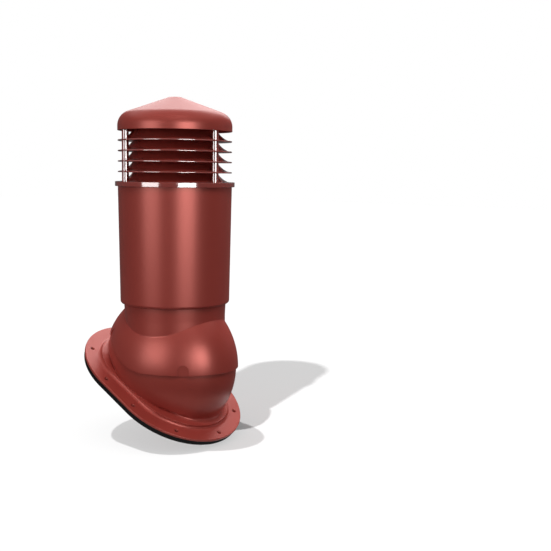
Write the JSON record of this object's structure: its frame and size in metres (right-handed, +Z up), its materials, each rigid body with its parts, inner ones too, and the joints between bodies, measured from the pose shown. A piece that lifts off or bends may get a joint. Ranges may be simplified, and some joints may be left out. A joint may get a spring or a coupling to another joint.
{
  "type": "roof vent pipe",
  "caption": "Insulated roof vent pipe with a louvred rain cap and a ball hood that tilts in a flanged roof base to suit the pitch.",
  "frame": {"origin": "centre of the lower end of the duct spigot", "axes": "+Z up along the pipe, -Y downhill, X along the tilt axis of the hood"},
  "size_m": [0.283, 0.3341, 0.6799],
  "materials": {
    "red_plastic": "satin moulded polypropylene, brick red",
    "dark_duct": "satin moulded polypropylene",
    "foam": "matt expanded polystyrene",
    "seal_rubber": "matt EPDM rubber",
    "screw_steel": "zinc plated steel"
  },
  "bodies": {
    "base": {"roof_base": "red_plastic", "roof_seal": "seal_rubber"},
    "stack": {"rain_cap": "red_plastic", "louvre_ring_1": "red_plastic", "louvre_ring_2": "red_plastic", "louvre_ring_3": "red_plastic", "louvre_ring_4": "red_plastic", "cage_post_1": "red_plastic", "cage_post_2": "red_plastic", "cage_post_3": "red_plastic", "cage_screws": "screw_steel", "top_collar": "red_plastic", "outer_casing": "red_plastic", "insulation_sleeve": "foam", "inner_duct": "dark_duct", "tilt_hood": "red_plastic"}
  },
  "joints": [
    {"name": "pipe_tilt", "type": "hinge", "parent": "base", "child": "stack", "pos_m": [0, -0.006, 0.0465], "axis": [1, 0, 0], "range_deg": [-10, 15]}
  ]
}
